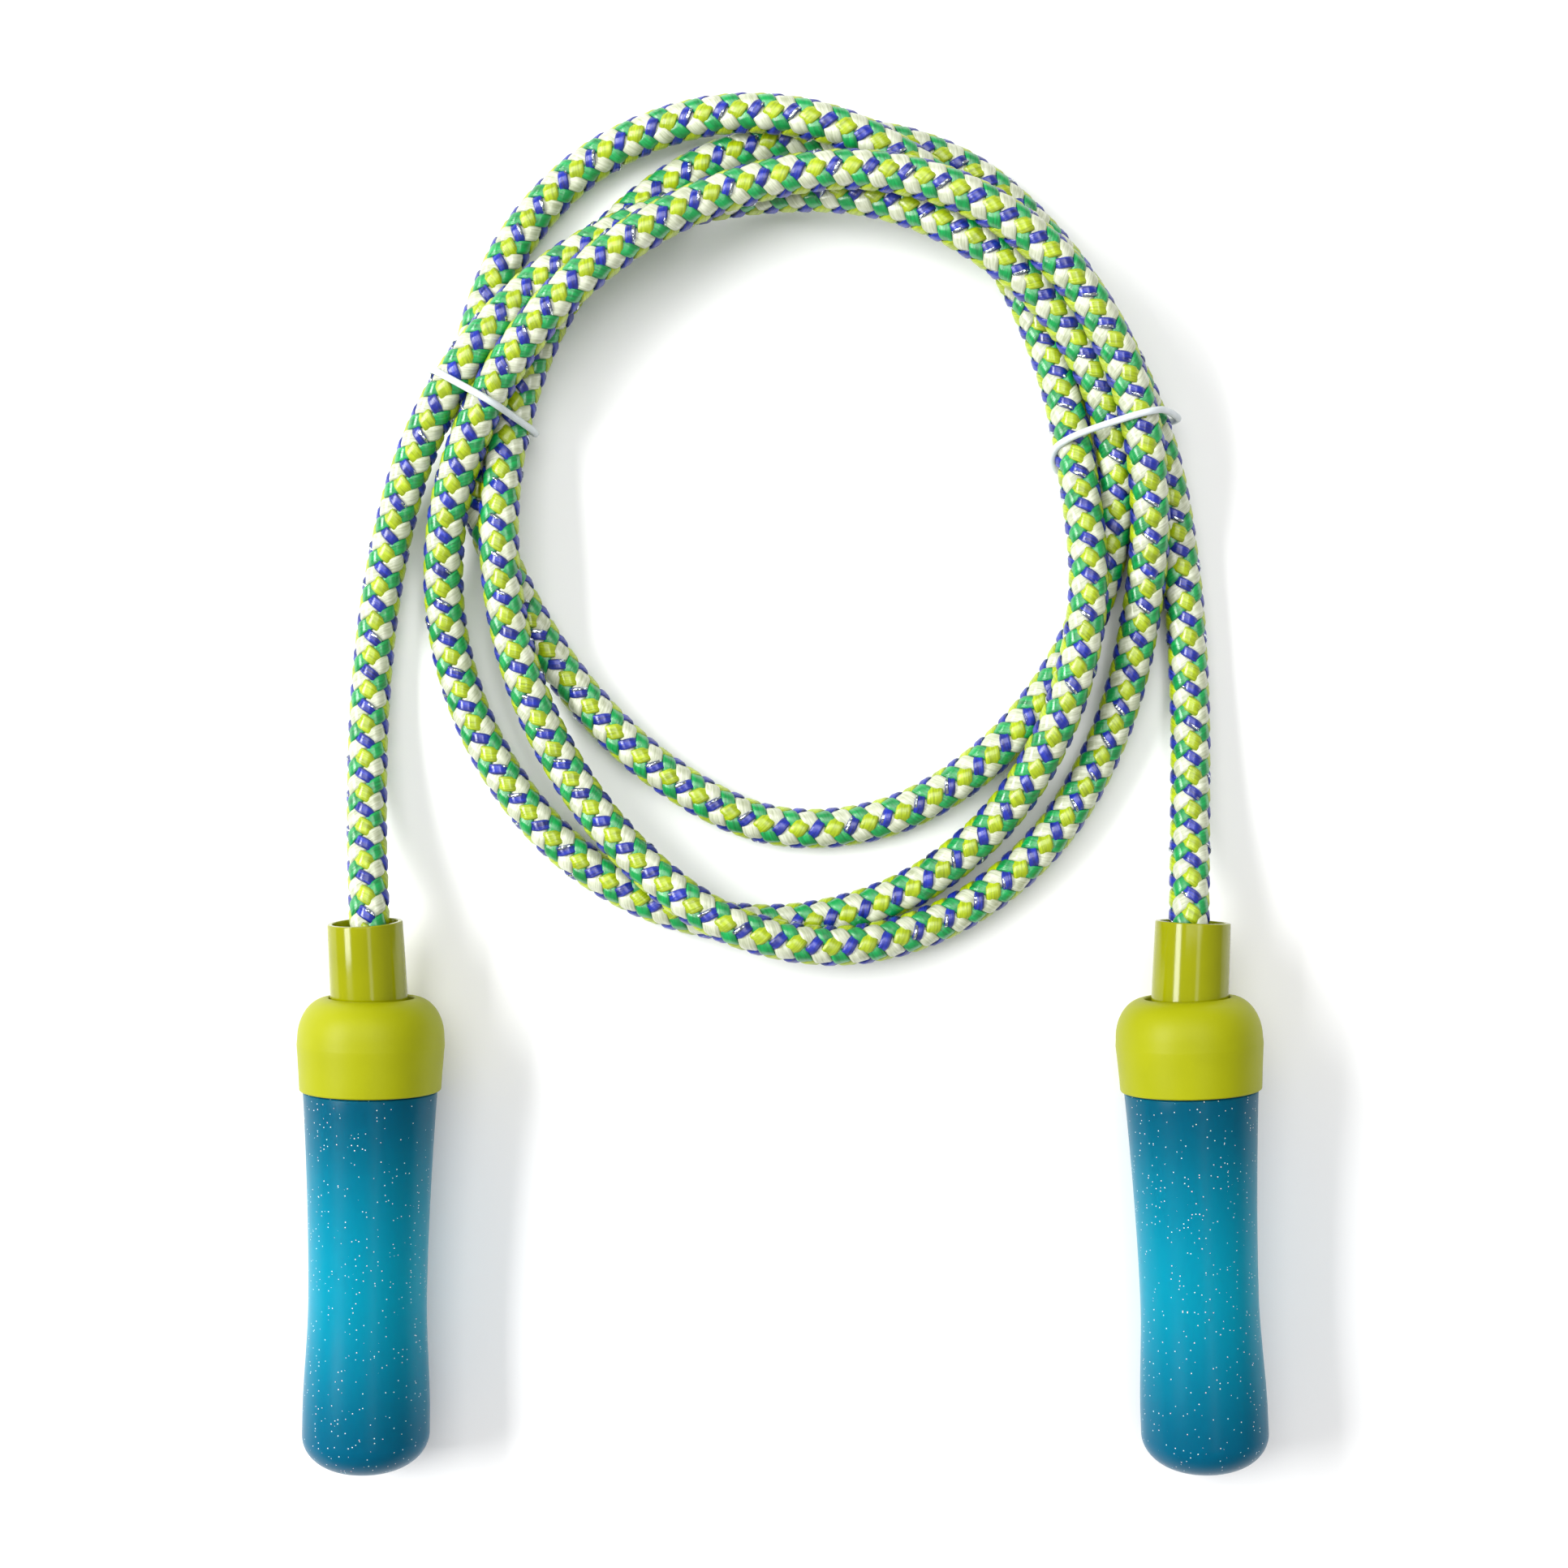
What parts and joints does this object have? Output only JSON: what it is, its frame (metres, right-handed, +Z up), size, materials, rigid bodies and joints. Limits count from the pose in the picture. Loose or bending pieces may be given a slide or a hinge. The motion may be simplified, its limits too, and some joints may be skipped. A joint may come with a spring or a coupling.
{
  "type": "skipping rope",
  "caption": "Child's skipping rope: a braided multicolour rope tied in a loose coil, with hollow moulded handles that spin on flanged nozzles.",
  "frame": {"origin": "on the ground, under the middle of the two handles", "axes": "+Z up; +Y from the handles towards the coil, along the left handle's axis to within a degree; +X from the left handle to the right one"},
  "size_m": [0.2324, 0.3312, 0.035],
  "materials": {
    "rope": "braided filament yarn, satin, white with lime, green and blue and a few silver threads",
    "grip": "translucent turquoise with silver glitter, glossy",
    "cap": "lime, satin",
    "nozzle": "lime, glossy",
    "tie": "translucent white, smooth"
  },
  "bodies": {
    "rope_coil": {"rope": "rope", "knot_left": "rope", "knot_right": "rope", "tie_left": "tie", "tie_right": "tie", "nozzle_left": "nozzle", "nozzle_right": "nozzle"},
    "left_handle": {"grip_left": "grip", "cap_left": "cap"},
    "right_handle": {"grip_right": "grip", "cap_right": "cap"}
  },
  "joints": [
    {"name": "left_handle_spin", "type": "hinge", "parent": "rope_coil", "child": "left_handle", "pos_m": [-0.09867, 0.046, 0.0176], "axis": [0.0166, 0.9996, 0.0237], "continuous": true},
    {"name": "right_handle_spin", "type": "hinge", "parent": "rope_coil", "child": "right_handle", "pos_m": [0.09655, 0.04599, 0.0176], "axis": [-0.0436, 0.9988, 0.0237], "continuous": true}
  ]
}
